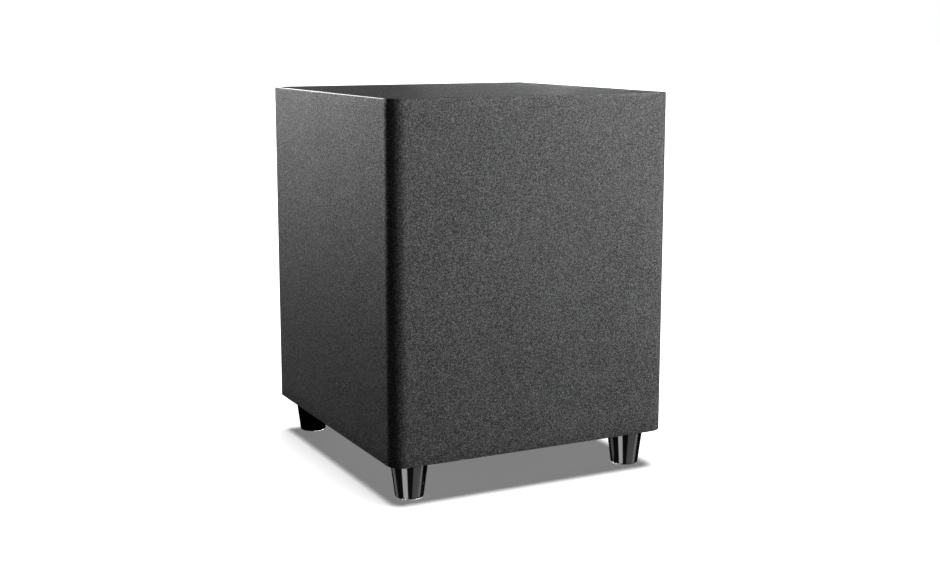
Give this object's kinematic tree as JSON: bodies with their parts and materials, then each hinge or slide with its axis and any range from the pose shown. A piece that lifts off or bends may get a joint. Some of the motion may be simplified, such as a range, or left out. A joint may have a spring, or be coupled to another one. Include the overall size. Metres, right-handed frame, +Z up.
{
  "type": "powered subwoofer",
  "caption": "Down-firing powered subwoofer: a black wrapped cabinet on tapered feet, with a rear port and a plate amplifier.",
  "frame": {"origin": "on the floor, at the bottom centre of the whole object's bounding box", "axes": "+Z up, front of the cabinet towards -Y, +X to the right seen from the front"},
  "size_m": [0.309, 0.3346, 0.389],
  "materials": {
    "textured_vinyl": "fibreboard wrapped in pebbled matte black vinyl",
    "bare_board": "raw softwood",
    "wadding": "loose polyester wadding",
    "gloss_black_plastic": "polished black",
    "rubber_black": "matte black rubber",
    "zinc_steel": "zinc-plated steel",
    "brass": "bright brass",
    "black_steel": "satin black coated steel",
    "cone_paper": "black treated paper pulp",
    "coil_film": "amber film former",
    "copper_wire": "enamelled copper",
    "spider_cloth": "resin-stiffened woven cloth",
    "ferrite": "ground ferrite",
    "black_plastic": "fine-textured moulded black",
    "black_sheet_metal": "powder-coated satin black",
    "circuit_board": "solder-masked fibreglass",
    "aluminium": "mill finish",
    "clear_lens": "translucent lens",
    "cable_jacket": "soft black jacket",
    "white_ink": "screen-printed scale marks",
    "red_plastic": "moulded red",
    "white_plastic": "moulded white"
  },
  "bodies": {
    "cabinet": {"top_panel": "textured_vinyl", "bottom_panel": "textured_vinyl", "front_panel": "textured_vinyl", "left_panel": "textured_vinyl", "right_panel": "textured_vinyl", "rear_panel": "textured_vinyl", "corner_battens": "bare_board", "wadding": "wadding", "foot_front_left": "gloss_black_plastic", "foot_front_right": "gloss_black_plastic", "foot_rear_left": "gloss_black_plastic", "foot_rear_right": "gloss_black_plastic", "foot_pad_front_left": "rubber_black", "foot_pad_front_right": "rubber_black", "foot_pad_rear_left": "rubber_black", "foot_pad_rear_right": "rubber_black", "foot_screws": "zinc_steel", "foot_inserts": "brass", "basket": "black_steel", "flange_gasket": "rubber_black", "top_plate": "zinc_steel", "ring_magnet": "ferrite", "pole_plate": "zinc_steel", "terminal_board": "black_plastic", "driver_screws": "black_steel", "port_flare": "black_plastic", "port_tube": "black_plastic", "amp_plate": "black_sheet_metal", "amp_gasket": "rubber_black", "amp_box": "black_plastic", "amp_screws": "black_steel", "circuit_boards": "circuit_board", "transformer": "ferrite", "capacitors": "gloss_black_plastic", "heat_bracket": "aluminium", "transistors": "black_plastic", "level_pot": "zinc_steel", "crossover_pot": "zinc_steel", "phase_switch": "zinc_steel", "mode_switch": "zinc_steel", "rocker_housing": "black_plastic", "mains_inlet": "black_plastic", "inlet_pins": "zinc_steel", "rca_jacks": "brass", "status_light": "clear_lens", "speaker_lead": "cable_jacket"},
    "cone_assembly": {"cone": "cone_paper", "dust_cap": "cone_paper", "coil_former": "coil_film", "coil_winding": "copper_wire", "surround": "rubber_black", "spider": "spider_cloth", "tinsel_leads": "copper_wire"},
    "level_control": {"level_knob": "black_plastic", "level_shaft": "aluminium"},
    "crossover_control": {"crossover_knob": "black_plastic", "crossover_shaft": "aluminium"},
    "phase_slider": {"phase_lever": "black_plastic"},
    "mode_slider": {"mode_lever": "black_plastic"},
    "power_button": {"power_rocker": "gloss_black_plastic"}
  },
  "joints": [
    {"name": "cone_stroke", "type": "slide", "parent": "cabinet", "child": "cone_assembly", "axis": [0, 0, 1], "range_m": [-0.006, 0.006], "stiffness_N_per_m": 2500, "deforming": ["surround", "spider", "tinsel_leads"]},
    {"name": "level_knob_turn", "type": "hinge", "parent": "cabinet", "child": "level_control", "pos_m": [0.055, 0.1602, 0.215], "axis": [0, -1, 0], "range_deg": [-150, 150]},
    {"name": "crossover_knob_turn", "type": "hinge", "parent": "cabinet", "child": "crossover_control", "pos_m": [0.022, 0.1602, 0.215], "axis": [0, -1, 0], "range_deg": [-150, 150]},
    {"name": "phase_switch_slide", "type": "slide", "parent": "cabinet", "child": "phase_slider", "axis": [1, 0, 0], "range_m": [0, 0.004]},
    {"name": "mode_switch_slide", "type": "slide", "parent": "cabinet", "child": "mode_slider", "axis": [1, 0, 0], "range_m": [0, 0.004]},
    {"name": "power_rocker_tilt", "type": "hinge", "parent": "cabinet", "child": "power_button", "pos_m": [0.03, 0.1517, 0.095], "axis": [1, 0, 0], "range_deg": [0, 16]}
  ]
}
